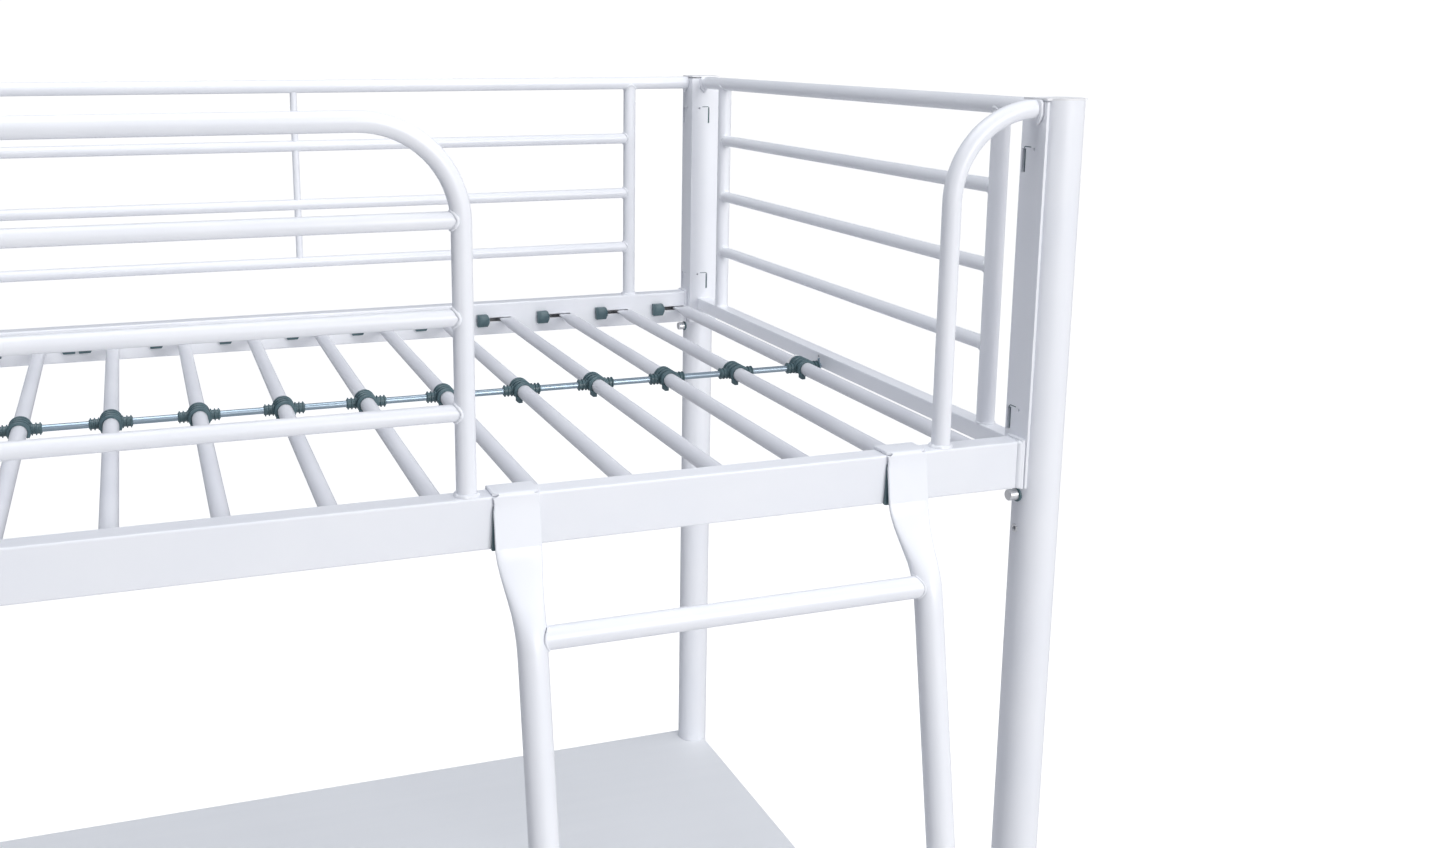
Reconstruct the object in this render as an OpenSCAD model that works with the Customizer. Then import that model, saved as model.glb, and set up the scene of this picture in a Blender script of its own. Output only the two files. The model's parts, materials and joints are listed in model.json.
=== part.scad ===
// Loft bed with desk: a tubular steel high sleeper for a 90 x 190 cm mattress.
// Millimetres, +X to the bed's right, +Y to the back guard, +Z up, floor at Z = 0.
// The origin is on the floor, at the middle of the whole footprint, ladder included.

/* [Bed frame] */
// Length of the mattress that lies on the slats
mattress_l = 1900; // [1880:10:1920]
// Width of the mattress, between the side rails
mattress_w = 900; // [880:10:920]
// Height of the corner posts
bed_h = 1850; // [1800:10:1900]
// Height of the side rails' top faces
rail_top = 1500; // [1450:10:1520]
// Diameter of the corner posts
post_d = 48; // [46:1:50]
// Height of the rectangular side rails
rail_h = 50; // [44:1:56]
// Depth of the side rails
rail_t = 25; // [22:1:28]
// Side of the square end rails
end_rail_s = 20; // [18:1:24]

/* [Guards] */
// Diameter of the guards' frame tubes
guard_d = 19; // [16:1:20]
// Diameter of the guards' horizontal bars
bar_d = 16; // [12:1:18]
// Vertical distance between the bars
bar_pitch = 87; // [80:1:90]
// Bend radius of the guard loops, at the tube's centre
loop_r = 90; // [60:1:90]
// Centre of the long guard's upright beside the ladder
entry_x = 359; // [340:1:362]

/* [Slats] */
// Number of slats
slat_count = 20; // [10:2:20]
// Diameter of the slats
slat_d = 18; // [16:1:19]
// Height of the slats' centre line below the rail tops
slat_drop = 25; // [24:1:28]
// Diameter of the rod that ties the slats together
rod_d = 8; // [6:1:9]

/* [Ladder] */
// Middle of the ladder
ladder_x = 604; // [598:1:608]
// Distance between the stiles' centres
stile_gap = 404; // [390:1:408]
// Diameter of the stiles
stile_d = 28; // [25:1:30]
// Lean of the ladder from the vertical, in degrees
ladder_lean = 10; // [8:1:14]
// Diameter of the rungs
rung_d = 22; // [18:1:25]
// Number of rungs
rung_count = 5; // [4:1:5]
// Vertical distance between the rungs
rung_pitch = 270; // [240:5:280]

/* [Desk] */
// Height of the desk top's upper face
desk_h = 700; // [680:10:760]
// Depth of the desk top
desk_depth = 500; // [450:10:600]
// Thickness of the desk top
desk_t = 18; // [15:1:22]

/* [Hidden] */
$fn = 64;
eps = 0.01;

paint = [0.95, 0.96, 0.98];
slat_paint = [0.88, 0.89, 0.93];
board_grey = [0.84, 0.86, 0.88];
clip_grey = [0.25, 0.33, 0.35];
rod_zinc = [0.52, 0.58, 0.64];
bolt_zinc = [0.78, 0.79, 0.80];
cap_white = [0.93, 0.93, 0.94];

// Corner posts: the centre of each is this far from the bed's middle.
post_x = mattress_l / 2 + 20;
post_y = mattress_w / 2 + 15;
post_r = post_d / 2;
post_wall = 1.5;
cap_t = 2;
foot_h = 4;
post_top = bed_h - cap_t;

// Angle bracket on each post: two legs whose outer faces stand off from the
// post's centre by face_off, in the post's own quadrant (towards the bed).
leg_t = 3;
face_off = post_r + 1;
leg_a_end = -14;
leg_b_end = -22;
bracket_top = bed_h - cap_t - 2;
bracket_bottom = rail_top - rail_h;
hook_slot_h = 24;
hook_slot_w = 6;
fine_slot_w = 2.5;
hook_slot_z = [rail_top + 6, bed_h - 75];
front_slot_off = 5.5;
back_slot_off = 33;

// Rails
rail_wall = 1.5;
rail_y = post_y - rail_t / 2 + 10;
rail_face_y = rail_y + rail_t / 2;
rail_half = post_x - face_off;
plate_t = 5;
plate_out = 3;
end_rail_top = rail_top - 10;
end_rail_half = post_y - face_off;

// Guards
tube_wall = 1.2;
guard_z = bed_h - 11;
bar_z = [for (k = [1:3]) guard_z - k * bar_pitch];
upright_x = rail_half - 92;
back_upright_x = rail_half - 98;
strut_x = 322;
strut_d = 10;
front_strut_x = -(upright_x - entry_x) / 2;
panel_upright_d = 20;
panel_upright_y = end_rail_half - 73;
short_loop_r = rail_half - upright_x - 2;

// Slats
slat_z = rail_top - slat_drop - 1;
slat_pitch = 2 * (rail_half - plate_t - slat_d / 2 - 1.5) / (slat_count - 1);
slat_wall = 1.2;
slot_y = rail_y - rail_t / 2;
tongue_l = 25;
tongue_t = 4;
slot_h = 6;
slot_w = 56;
// Each slat lies in the outer part of its slot, the plug in the part nearest
// the bed's middle, and an empty stretch of the slot lies between them.
slat_off = slot_w / 2 - slat_d / 2 - 0.5;
plug_w = 16;
plug_tip = 3;
plug_h = 19;
plug_out = 9;
collar_t = 5;

// Ladder: the stiles' centre line passes through (lean_y, lean_z).
lean_y = -(rail_face_y + 41);
lean_z = rail_top - rail_h - 15;
stile_x = [ladder_x - stile_gap / 2, ladder_x + stile_gap / 2];
stile_wall = 1.5;
stile_l = lean_z / cos(ladder_lean);
spoon_l = 62;
top_rung_z = rail_top - 120;
hook_w = 44;
// Slices of the flattened stile top, from the hook plate down to the round tube
spoon_foot_z = lean_z - (spoon_l + 4) * cos(ladder_lean);
spoon = [
    [9, rail_top - rail_h - 3, hook_w / 2, 2.6],
    [20, rail_top - rail_h - 27, 19, 6.5],
    [38, rail_top - rail_h - 54, 15.5, 11.5],
    [-stile_y(spoon_foot_z) - rail_face_y, spoon_foot_z, stile_d / 2, stile_d / 2]
];
hook_t = 3;
hook_gap = 0.4;
hook_lip_z = rail_top - 9;
hook_foot_z = rail_top - rail_h - 4;
shoe_wall = 2.5;
shoe_h = 38;
shoe_floor = 6;

// Desk
desk_half = post_x + 15;
desk_back = post_y + 23;
desk_front = desk_back - desk_depth;
beam_h = 30;
beam_t = 20;
crossbar_h = 40;
crossbar_z = desk_h - desk_t - crossbar_h;
lower_z = 300;

// Bolts
bolt_z = rail_top - rail_h - 10;
bolt_d = 8;
bolt_head_d = 12;
bolt_head_l = 11;
rivet_z = bolt_z - 37;
screw_d = 4;
screw_head_d = 9;
screw_y = [desk_front + 60, desk_back - 90];

// Footprint: the bed's middle line lies at bed_y, so that the origin is at
// the middle of everything that stands on the floor.
back_extent = post_y + post_r;
shoe_r = stile_d / 2 + shoe_wall;
front_extent = -stile_y(0) + shoe_r / cos(ladder_lean);
bed_y = (front_extent - back_extent) / 2;

// Y of the stiles' centre line at height z
function stile_y(z) = lean_y - (lean_z - z) * tan(ladder_lean);
function slat_x(i) = (i - (slat_count - 1) / 2) * slat_pitch;
function side(i) = sign(slat_x(i));
function slot_x(i) = slat_x(i) - side(i) * slat_off;
// Points of an arc, for the profiles
function arc(cx, cy, r, a0, a1, n) =
    [for (k = [0:n]) let (a = a0 + (a1 - a0) * k / n) [cx + r * cos(a), cy + r * sin(a)]];

// ---------- helpers ----------

module on_bed() translate([0, bed_y, 0]) children();

module rod_x(x0, x1, d) translate([x0, 0, 0]) rotate([0, 90, 0]) cylinder(d = d, h = x1 - x0);

module rod_y(y0, y1, d) translate([0, y0, 0]) rotate([-90, 0, 0]) cylinder(d = d, h = y1 - y0);

// A post's own frame: centred on the post, +X and +Y towards the bed's middle.
module at_post(sx, sy)
    translate([sx * post_x, sy * post_y, 0])
        mirror([sx > 0 ? 1 : 0, 0, 0])
            mirror([0, sy > 0 ? 1 : 0, 0])
                children();

module rounded_rect(w, h, r) {
    square([w - 2 * r, h], center = true);
    square([w, h - 2 * r], center = true);
    for (sx = [-1, 1]) for (sy = [-1, 1])
        translate([sx * (w / 2 - r), sy * (h / 2 - r)]) circle(r = r, $fn = 24);
}

// Rectangular tube along X, from -half to half, centred on Y and Z
module box_tube_x(half, d, h, wall, r)
    translate([-half, 0, 0]) rotate([90, 0, 90]) linear_extrude(2 * half) difference() {
        rounded_rect(d, h, r);
        square([d - 2 * wall, h - 2 * wall], center = true);
    }

// ---------- posts ----------

// Lanced hook slot: a slit of width w, off from the bracket's corner, with a
// small round hole beside its top at hole_off
module hook_cut(off, w, hole_off, z) {
    translate([0, off, z]) cube([20, w, hook_slot_h], center = true);
    translate([0, hole_off, z + hook_slot_h / 2]) rod_x(-10, 10, 3);
}

module angle_bracket(slot_off) difference() {
    union() {
        translate([face_off - leg_t, leg_a_end, bracket_bottom])
            cube([leg_t, face_off - leg_a_end, bracket_top - bracket_bottom]);
        translate([leg_b_end, face_off - leg_t, bracket_bottom])
            cube([face_off - leg_b_end, leg_t, bracket_top - bracket_bottom]);
    }
    for (z = hook_slot_z) {
        translate([face_off, face_off, 0]) mirror([0, 1, 0])
            hook_cut(slot_off, hook_slot_w, slot_off < 20 ? 22 : 19, z + hook_slot_h / 2);
        translate([face_off, face_off, 0]) rotate([0, 0, 90])
            hook_cut(29, fine_slot_w, 13, z + hook_slot_h / 2);
    }
}

module post(sx, sy) color(paint) on_bed() at_post(sx, sy) difference() {
    union() {
        translate([0, 0, foot_h]) cylinder(d = post_d, h = post_top - foot_h);
        angle_bracket(sy > 0 ? back_slot_off : front_slot_off);
    }
    translate([0, 0, foot_h - 1]) cylinder(d = post_d - 2 * post_wall, h = bed_h);
    translate([0, 0, bolt_z]) rod_x(0, post_d, bolt_d + 0.4);
    translate([0, 0, rivet_z]) rod_x(0, post_d, 4);
}

module post_top_caps() color(cap_white) on_bed()
    for (sx = [-1, 1]) for (sy = [-1, 1]) at_post(sx, sy) {
        translate([0, 0, post_top]) union() {
            cylinder(d = post_d, h = cap_t);
            translate([leg_b_end, leg_a_end, 0])
                cube([face_off - leg_b_end, face_off - leg_a_end, cap_t]);
        }
        translate([0, 0, post_top - 12 - eps]) cylinder(d = post_d - 2 * post_wall, h = 12 + 2 * eps);
    }

module post_feet() color(cap_white) on_bed()
    for (sx = [-1, 1]) for (sy = [-1, 1]) at_post(sx, sy) {
        cylinder(d = post_d, h = foot_h);
        translate([0, 0, foot_h - eps]) cylinder(d = post_d - 2 * post_wall, h = 16);
    }

// ---------- rails ----------

// The rail's inner face is towards -Y; the slots for the slats are in it.
module side_rail_shape() {
    difference() {
        translate([0, 0, rail_top - rail_h / 2])
            box_tube_x(rail_half - plate_t, rail_t, rail_h, rail_wall, 2);
        for (i = [0:slat_count - 1])
            translate([slot_x(i) - slot_w / 2, -rail_t, slat_z - slot_h / 2])
                cube([slot_w, rail_t, slot_h]);
    }
    for (s = [-1, 1])
        translate([s * (rail_half - plate_t / 2), 0, rail_top - rail_h])
            linear_extrude(rail_h + 2) translate([0, plate_out / 2])
                rounded_rect(plate_t, rail_t + plate_out, 2);
}

module front_side_rail() color(paint) on_bed()
    translate([0, -rail_y, 0]) mirror([0, 1, 0]) side_rail_shape();

module back_side_rail() color(paint) on_bed() translate([0, rail_y, 0]) side_rail_shape();

module end_rail(s) color(paint) on_bed()
    translate([s * post_x, 0, end_rail_top - end_rail_s / 2]) difference() {
        rotate([0, 0, 90]) box_tube_x(end_rail_half, end_rail_s, end_rail_s, rail_wall, 1.5);
        translate([s > 0 ? -end_rail_s : 0, 12, 4]) rod_x(0, end_rail_s, 4);
    }

// ---------- guards (cut = 0 draws the outside, otherwise the hollow) ----------

module upright(x, z0, d, cut) translate([x, 0, z0 - cut]) cylinder(d = d - 2 * cut, h = guard_z - z0 + cut);

module guard_bars(x0, x1, cut)
    for (z = bar_z) translate([0, 0, z]) rod_x(x0, x1, bar_d - 2 * cut);

// Quarter bend that turns an upright at x into the top tube, towards direction s
module loop_bend(x, s, r, cut)
    translate([x + s * r, 0, guard_z - r]) rotate([90, 0, 0])
        rotate([0, 0, s > 0 ? 90 : 0]) rotate_extrude(angle = 90) translate([r, 0]) circle(d = guard_d - 2 * cut, $fn = 48);

module back_guard_shape(cut) {
    translate([0, 0, guard_z]) rod_x(-rail_half - cut, rail_half + cut, guard_d - 2 * cut);
    for (x = [-back_upright_x, back_upright_x]) upright(x, rail_top, guard_d, cut);
    for (x = [-strut_x, strut_x]) upright(x, bar_z[2], strut_d, cut);
    guard_bars(-back_upright_x, back_upright_x, cut);
}

module back_guard() color(paint) on_bed() translate([0, rail_y, 0]) difference() {
    back_guard_shape(0);
    back_guard_shape(tube_wall);
}

module front_long_shape(cut) {
    translate([0, 0, guard_z]) rod_x(-rail_half - cut, entry_x - loop_r, guard_d - 2 * cut);
    loop_bend(entry_x, -1, loop_r, cut);
    translate([entry_x, 0, rail_top - cut]) cylinder(d = guard_d - 2 * cut, h = guard_z - loop_r - rail_top + cut);
    upright(-upright_x, rail_top, guard_d, cut);
    upright(front_strut_x, bar_z[2], strut_d, cut);
    guard_bars(-upright_x, entry_x, cut);
}

module front_guard_long() color(paint) on_bed() translate([0, -rail_y, 0]) difference() {
    front_long_shape(0);
    front_long_shape(tube_wall);
}

module front_short_shape(cut) {
    translate([upright_x, 0, rail_top - cut])
        cylinder(d = guard_d - 2 * cut, h = guard_z - short_loop_r - rail_top + cut);
    loop_bend(upright_x, 1, short_loop_r, cut);
    translate([0, 0, guard_z]) rod_x(upright_x + short_loop_r, rail_half + cut, guard_d - 2 * cut);
}

module front_guard_short() color(paint) on_bed() translate([0, -rail_y, 0]) difference() {
    front_short_shape(0);
    front_short_shape(tube_wall);
}

module end_panel_shape(cut) {
    translate([0, 0, guard_z]) rod_y(-end_rail_half - cut, end_rail_half + cut, guard_d - 2 * cut);
    for (y = [-panel_upright_y, panel_upright_y])
        translate([0, y, 0]) upright(0, end_rail_top, panel_upright_d, cut);
    for (z = bar_z)
        translate([0, 0, z]) rod_y(-panel_upright_y, panel_upright_y, bar_d - 2 * cut);
}

module end_panel(s) color(paint) on_bed() translate([s * post_x, 0, 0]) difference() {
    end_panel_shape(0);
    end_panel_shape(tube_wall);
}

// ---------- slats and what holds them ----------

// Side view of a slat's flattened end, as a wedge that trims the tube
module end_wedge(full, flat)
    linear_extrude(2 * slat_d, center = true) polygon([
        [-slot_y - 2, flat / 2], [-slot_y, flat / 2], [-slot_y + tongue_l, full / 2],
        [slot_y - tongue_l, full / 2], [slot_y, flat / 2], [slot_y + 2, flat / 2],
        [slot_y + 2, -flat / 2], [slot_y, -flat / 2], [slot_y - tongue_l, -full / 2],
        [-slot_y + tongue_l, -full / 2], [-slot_y, -flat / 2], [-slot_y - 2, -flat / 2]
    ]);

module slat(i) color(slat_paint) on_bed() translate([slat_x(i), 0, slat_z]) difference() {
    intersection() {
        rod_y(-slot_y - 2, slot_y + 2, slat_d);
        rotate([90, 0, 90]) end_wedge(slat_d + 1, tongue_t);
    }
    rod_y(-slot_y + tongue_l, slot_y - tongue_l, slat_d - 2 * slat_wall);
    rod_x(-slat_d, slat_d, rod_d + 1);
    // Vent hole in the underside, near the front end
    translate([0, -slot_y + 60, -slat_d]) cylinder(d = 5, h = slat_d);
}

// Plug beside a slat's tongue: a block with a pointed side
module plug() {
    left = -slot_w / 2;
    right = left + plug_w;
    rotate([90, 0, 0]) linear_extrude(plug_out) polygon([
        [left, -plug_h / 2], [right, -plug_h / 2], [right + plug_tip, -slot_h / 2],
        [right + plug_tip, slot_h / 2], [right, plug_h / 2], [left, plug_h / 2]
    ]);
    translate([left + 1, -eps, -slot_h / 2 + 0.3]) cube([plug_w - 2, 8, slot_h - 0.6]);
}

module slat_plugs() color(clip_grey) on_bed()
    for (i = [0:slat_count - 1]) translate([slot_x(i), 0, slat_z]) mirror([side(i) > 0 ? 0 : 1, 0, 0]) {
        translate([0, slot_y, 0]) plug();
        translate([0, -slot_y, 0]) mirror([0, 1, 0]) plug();
    }

// Saddle over a slat, with an ear for the rod on each side
module slat_clip() difference() {
    union() {
        rod_y(-14, 14, slat_d + 7);
        for (y = [-13, 0, 13]) rod_y(y - 2, y + 2, slat_d + 10);
        rod_x(-24, 24, rod_d + 6);
        for (s = [-1, 1]) translate([s * 20, 0, 0]) rod_x(-3, 3, rod_d + 10);
        translate([-9, -16, -17]) cube([12, 10, 10]);
    }
    rod_y(-30, 30, slat_d + 0.2);
    rod_x(-30, 30, rod_d + 0.4);
    // The sleeve is open below the slat
    translate([-slat_d / 2 + 2, -30, -30]) cube([slat_d - 4, 60, 24]);
}

module slat_clips() color(clip_grey) on_bed()
    for (i = [0:slat_count - 1]) translate([slat_x(i), 0, slat_z]) slat_clip();

module centre_rod() color(rod_zinc) on_bed() translate([0, 0, slat_z])
    rod_x(slat_x(0) - 27, slat_x(slat_count - 1) + 27, rod_d);

// Collars on the first and the last slat, behind their clips
module end_collars() color(cap_white) on_bed()
    for (i = [0, slat_count - 1]) translate([slat_x(i), 16, slat_z]) difference() {
        rod_y(0, collar_t, slat_d + 7);
        rod_y(-1, collar_t + 1, slat_d);
    }

// ---------- ladder ----------

// The stile's own frame: origin at the middle of its top, +Z up along it
module along_stile(x) on_bed()
    translate([x, stile_y(lean_z), lean_z]) rotate([-ladder_lean, 0, 0]) children();

module stile(x) color(paint) {
    difference() {
        along_stile(x) difference() {
            translate([0, 0, -stile_l - 20]) cylinder(d = stile_d, h = stile_l + 20 - spoon_l);
            translate([0, 0, -stile_l - 30])
                cylinder(d = stile_d - 2 * stile_wall, h = stile_l + 30 - spoon_l - 8);
        }
        translate([x - 50, bed_y - 1200, -60]) cube([100, 1200, 60 + shoe_floor]);
    }
    // Spoon: the round tube flattens and widens into the hook plate
    for (k = [0:2]) spoon_part(x, k);
}

module spoon_part(x, k) hull() {
    spoon_ring(x, spoon[k]);
    spoon_ring(x, spoon[k + 1]);
}

// Oval slice of the spoon: [distance in front of the rail, height, half width, half depth]
module spoon_ring(x, ring) on_bed() translate([x, -rail_face_y - ring[0], ring[1]])
    rotate([-ladder_lean, 0, 0]) linear_extrude(1)
        polygon([for (a = [0:10:350]) [ring[2] * cos(a), ring[3] * sin(a)]]);

// Hook plate, seen from the side: over the rail, with a short lip behind it
module hook(x) color(paint) on_bed() difference() {
    translate([x - hook_w / 2, 0, 0]) rotate([90, 0, 90]) linear_extrude(hook_w) polygon(concat(
        [[-rail_face_y - 10.5, hook_foot_z], [-rail_face_y - 7.5, hook_foot_z]],
        [[-rail_face_y - hook_gap, rail_top - 6], [-rail_face_y - hook_gap, rail_top + hook_gap]],
        [[-slot_y + hook_gap, rail_top + hook_gap], [-slot_y + hook_gap, hook_lip_z]],
        [[-slot_y + hook_gap + hook_t, hook_lip_z], [-slot_y + hook_gap + hook_t, rail_top + hook_gap]],
        arc(-slot_y + hook_gap, rail_top + hook_gap, hook_t, 0, 90, 4),
        arc(-rail_face_y - hook_gap, rail_top + hook_gap, hook_t, 90, 180, 4),
        [[-rail_face_y - hook_gap - hook_t, rail_top - 6]]
    ));
    for (s = [-1, 1])
        translate([x + s * hook_w / 2, -rail_face_y - hook_gap, rail_top + hook_gap])
            rotate([-45, 0, 0]) rotate([90, 0, 0]) cylinder(d = 9, h = 30, center = true, $fn = 24);
}

module rung(k) color(paint) difference() {
    z = top_rung_z - (rung_count - k) * rung_pitch;
    on_bed() translate([0, stile_y(z), z]) difference() {
        rod_x(stile_x[0], stile_x[1], rung_d);
        rod_x(stile_x[0] - 1, stile_x[1] + 1, rung_d - 2 * stile_wall);
    }
    for (x = stile_x) along_stile(x)
        translate([0, 0, -lean_z - 100]) cylinder(d = stile_d, h = lean_z + 100);
    if (k == rung_count) for (x = stile_x) spoon_part(x, 2);
}

module ladder_feet() color(cap_white) for (x = stile_x) difference() {
    along_stile(x) translate([0, 0, -stile_l - 20]) cylinder(r = shoe_r, h = shoe_h + 20);
    difference() {
        along_stile(x) translate([0, 0, -stile_l - 30]) cylinder(d = stile_d, h = shoe_h + 60);
        translate([x - 60, bed_y - 1200, -70]) cube([120, 1200, 70 + shoe_floor]);
    }
    translate([x - 50, bed_y - 1200, -60]) cube([100, 1200, 60]);
}

// ---------- desk ----------

module desk_top() color(board_grey) on_bed() difference() {
    translate([-desk_half, desk_front, desk_h - desk_t]) cube([2 * desk_half, desk_depth, desk_t]);
    for (s = [-1, 1]) translate([s * post_x, post_y, 0]) {
        cylinder(d = post_d + 0.6, h = 2 * desk_h);
        translate([s > 0 ? 0 : -post_d, 0, 0]) cube([post_d, post_d, 2 * desk_h]);
    }
    for (s = [-1, 1]) for (y = screw_y)
        translate([s * post_x, y, crossbar_z]) cylinder(d = screw_d, h = crossbar_h + 12);
}

// Rectangular bar between two members, along X, centred on its own axis
module beam_x(half, y, z, h) on_bed() translate([0, y, z + h / 2]) box_tube_x(half, beam_t, h, 1.5, 2);

module desk_front_beam() color(paint)
    beam_x(post_x - beam_t / 2, desk_front + 25, desk_h - desk_t - beam_h, beam_h);

module desk_back_beam() color(paint) difference() {
    beam_x(post_x, post_y, desk_h - desk_t - beam_h, beam_h);
    post_clearance();
}

module back_stretcher() color(paint) difference() {
    beam_x(post_x, post_y, lower_z, crossbar_h);
    post_clearance();
}

// The posts' outer surface, to cope the bars that meet it
module post_clearance() on_bed()
    for (sx = [-1, 1]) for (sy = [-1, 1]) translate([sx * post_x, sy * post_y, 0])
        cylinder(d = post_d, h = bed_h);

module crossbar(s, z, holes) color(paint) difference() {
    on_bed() translate([s * post_x, 0, z + crossbar_h / 2]) rotate([0, 0, 90])
        box_tube_x(post_y, beam_t, crossbar_h, 1.5, 2);
    post_clearance();
    if (holes) on_bed() for (y = screw_y) translate([s * post_x, y, 0])
        cylinder(d = screw_d + 0.5, h = desk_h);
}

// ---------- fasteners ----------

// Socket-head bolts that face the bed's middle, just under the side rails
module joint_bolts() color(bolt_zinc) on_bed()
    for (sx = [-1, 1]) for (sy = [-1, 1]) at_post(sx, sy) translate([0, 0, bolt_z]) difference() {
        union() {
            rod_x(8, post_r + 2, bolt_d);
            rod_x(post_r + 1, post_r + bolt_head_l, bolt_head_d);
            rod_x(10, 16, 13);
        }
        translate([post_r + bolt_head_l - 6, 0, 0]) rotate([0, 90, 0]) cylinder(d = 6.9, h = 10, $fn = 6);
    }

module desk_screws() color(bolt_zinc) on_bed()
    for (s = [-1, 1]) for (y = screw_y) translate([s * post_x, y, crossbar_z]) {
        translate([0, 0, -2.5]) cylinder(d = screw_head_d, h = 2.5);
        translate([0, 0, -1]) cylinder(d = screw_d, h = crossbar_h + 12);
    }

post(-1, -1);  // front_left_post
post(1, -1);  // front_right_post
post(-1, 1);  // back_left_post
post(1, 1);  // back_right_post
post_top_caps();
post_feet();
front_side_rail();
back_side_rail();
end_rail(-1);  // left_end_rail
end_rail(1);  // right_end_rail
front_guard_long();
front_guard_short();
back_guard();
end_panel(-1);  // left_end_panel
end_panel(1);  // right_end_panel
slat(0);  // slat_01
slat(1);  // slat_02
slat(2);  // slat_03
slat(3);  // slat_04
slat(4);  // slat_05
slat(5);  // slat_06
slat(6);  // slat_07
slat(7);  // slat_08
slat(8);  // slat_09
slat(9);  // slat_10
slat(10);  // slat_11
slat(11);  // slat_12
slat(12);  // slat_13
slat(13);  // slat_14
slat(14);  // slat_15
slat(15);  // slat_16
slat(16);  // slat_17
slat(17);  // slat_18
slat(18);  // slat_19
slat(19);  // slat_20
slat_plugs();
slat_clips();
centre_rod();
end_collars();
stile(stile_x[0]);  // ladder_left_stile
stile(stile_x[1]);  // ladder_right_stile
hook(stile_x[0]);  // ladder_left_hook
hook(stile_x[1]);  // ladder_right_hook
rung(1);  // ladder_rung_1
rung(2);  // ladder_rung_2
rung(3);  // ladder_rung_3
rung(4);  // ladder_rung_4
rung(5);  // ladder_rung_5
ladder_feet();
desk_top();
desk_front_beam();
desk_back_beam();
crossbar(-1, crossbar_z, true);  // desk_left_crossbar
crossbar(1, crossbar_z, true);  // desk_right_crossbar
crossbar(-1, lower_z, false);  // lower_left_crossbar
crossbar(1, lower_z, false);  // lower_right_crossbar
back_stretcher();
joint_bolts();
desk_screws();
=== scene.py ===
"""Loft bed with desk: finishes, weld beads, pressed tube ends, clips and studio light
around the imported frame. Lengths are in bed millimetres, with X = 0 and Y = 0 at the
middle of the bed and Z = 0 on the floor; at() turns a point into the row frame."""

import json
import math

import bmesh
import bpy
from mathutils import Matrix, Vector


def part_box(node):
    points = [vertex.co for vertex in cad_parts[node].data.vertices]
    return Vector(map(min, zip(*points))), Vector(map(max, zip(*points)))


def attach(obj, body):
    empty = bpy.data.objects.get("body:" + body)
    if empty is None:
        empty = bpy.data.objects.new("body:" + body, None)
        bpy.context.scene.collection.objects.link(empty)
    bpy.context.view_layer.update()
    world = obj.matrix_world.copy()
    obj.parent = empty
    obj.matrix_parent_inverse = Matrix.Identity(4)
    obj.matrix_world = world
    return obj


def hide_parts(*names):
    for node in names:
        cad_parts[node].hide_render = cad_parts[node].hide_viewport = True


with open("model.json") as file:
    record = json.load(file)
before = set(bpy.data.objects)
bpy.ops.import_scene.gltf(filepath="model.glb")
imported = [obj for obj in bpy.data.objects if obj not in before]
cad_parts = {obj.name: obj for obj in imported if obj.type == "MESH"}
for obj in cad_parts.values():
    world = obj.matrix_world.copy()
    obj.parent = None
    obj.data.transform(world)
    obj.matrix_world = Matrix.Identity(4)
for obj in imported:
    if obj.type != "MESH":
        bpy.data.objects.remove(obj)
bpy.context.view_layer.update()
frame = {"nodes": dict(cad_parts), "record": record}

MM = 0.001
X, Y, Z = Vector((1, 0, 0)), Vector((0, 1, 0)), Vector((0, 0, 1))

# ---------- where things are, read off the CAD nodes ----------

end_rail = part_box("right_end_rail")
BED_Y = (end_rail[0].y + end_rail[1].y) / 2


def box_mm(node):
    """The node's lowest and highest corner, in bed millimetres."""
    lo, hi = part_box(node)
    return [(c.x / MM, (c.y - BED_Y) / MM, c.z / MM) for c in (lo, hi)]


def centre_mm(node):
    lo, hi = box_mm(node)
    return tuple((a + b) / 2 for a, b in zip(lo, hi))


def at(x, y, z):
    """A point given in bed millimetres, in the row frame."""
    return Vector((x * MM, y * MM + BED_Y, z * MM))


POST_X = centre_mm("right_end_rail")[0]
POST_R = box_mm("front_right_post")[1][0] - POST_X
POST_Y = box_mm("back_right_post")[1][1] - POST_R
# Inner faces of the brackets' legs: X of the one that the side rail meets, Y of the one
# that the end rail meets
LEG_A = box_mm("front_right_post")[0][0]
LEG_B = box_mm("right_end_rail")[1][1]
RAIL_TOP = box_mm("front_guard_long")[0][2]
RAIL_IN = box_mm("back_side_rail")[0][1]
GUARD_Y = centre_mm("back_guard")[1]
GUARD_R = 9.5
GUARD_Z = box_mm("back_guard")[1][2] - GUARD_R
BAR_R = 8.0
BAR_PITCH = 87
BAR_Z = [GUARD_Z - k * BAR_PITCH for k in (1, 2, 3)]
RAIL_HALF = 12.5
RAIL_FACE = GUARD_Y + RAIL_HALF
RAIL_H = 50.0
# Welded uprights of the guards and the end panels
BACK_UPRIGHT_X = LEG_A - 98
LONG_UPRIGHT_X = LEG_A - 92
ENTRY_X = box_mm("front_guard_long")[1][0] - GUARD_R
PANEL_UPRIGHT_Y = LEG_B - 73
PANEL_R = 10.0
PANEL_FOOT_Z = box_mm("right_end_rail")[1][2]
SLAT_Z = centre_mm("slat_01")[2]
SLAT_X = [centre_mm(f"slat_{k:02d}")[0] for k in range(1, 21)]
STILE_X = [centre_mm("ladder_left_hook")[0], centre_mm("ladder_right_hook")[0]]
RUNGS = [centre_mm(f"ladder_rung_{k}") for k in range(1, 6)]
LEAN = math.atan2(RUNGS[4][1] - RUNGS[0][1], RUNGS[4][2] - RUNGS[0][2])
STILE_R = 14.0
STILE_AXIS = (Z * math.cos(LEAN) + Y * math.sin(LEAN)).normalized()
RUNG_R = 11
BOLT_Z = centre_mm("joint_bolts")[2]
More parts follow.
